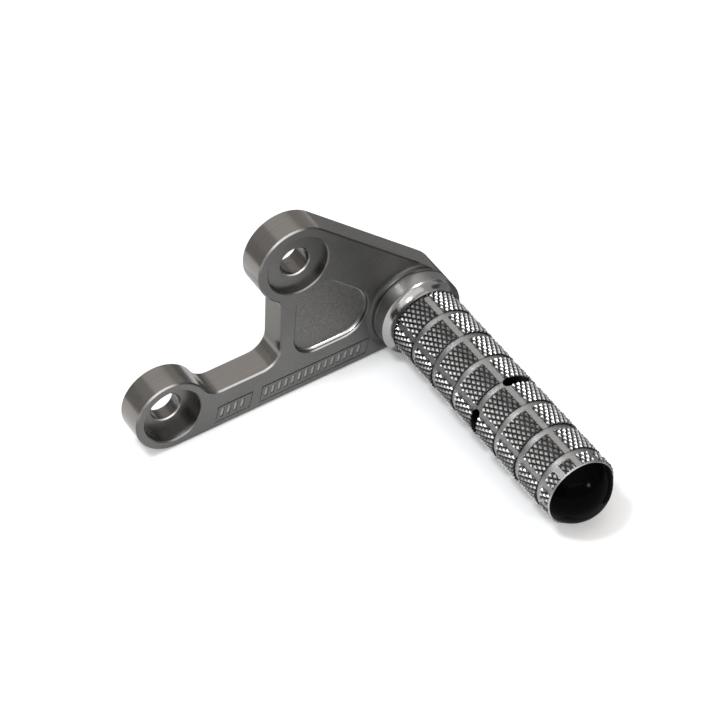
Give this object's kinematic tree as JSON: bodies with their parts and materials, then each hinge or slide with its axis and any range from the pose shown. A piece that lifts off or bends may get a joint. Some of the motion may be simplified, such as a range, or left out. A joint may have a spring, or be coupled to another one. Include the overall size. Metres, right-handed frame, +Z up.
{
  "type": "rearset footpeg assembly",
  "caption": "Rigid knurled motorbike footpeg bolted to a flat milled bracket with two counterbored fixing bores, a shallow pocket and a domed black end plug.",
  "frame": {"origin": "where the axis of the arm's fixing bore meets the bracket's mounting face", "axes": "+Z up, square to the bracket's straight lower edge; -Y along the peg, away from the motorbike; +X along the lower edge from the arm to the peg"},
  "size_m": [0.1151, 0.1185, 0.0659],
  "materials": {
    "milled_aluminium": "satin, milled and lightly brushed",
    "turned_aluminium": "turned and knurled, polished collar",
    "screw_steel": "zinc plated, satin",
    "washer_steel": "plain spring steel",
    "black_plastic": "glossy black"
  },
  "bodies": {
    "root": {"bracket": "milled_aluminium", "peg_barrel": "turned_aluminium", "peg_screw": "screw_steel", "lock_washer": "washer_steel", "end_plug": "black_plastic"}
  },
  "joints": []
}
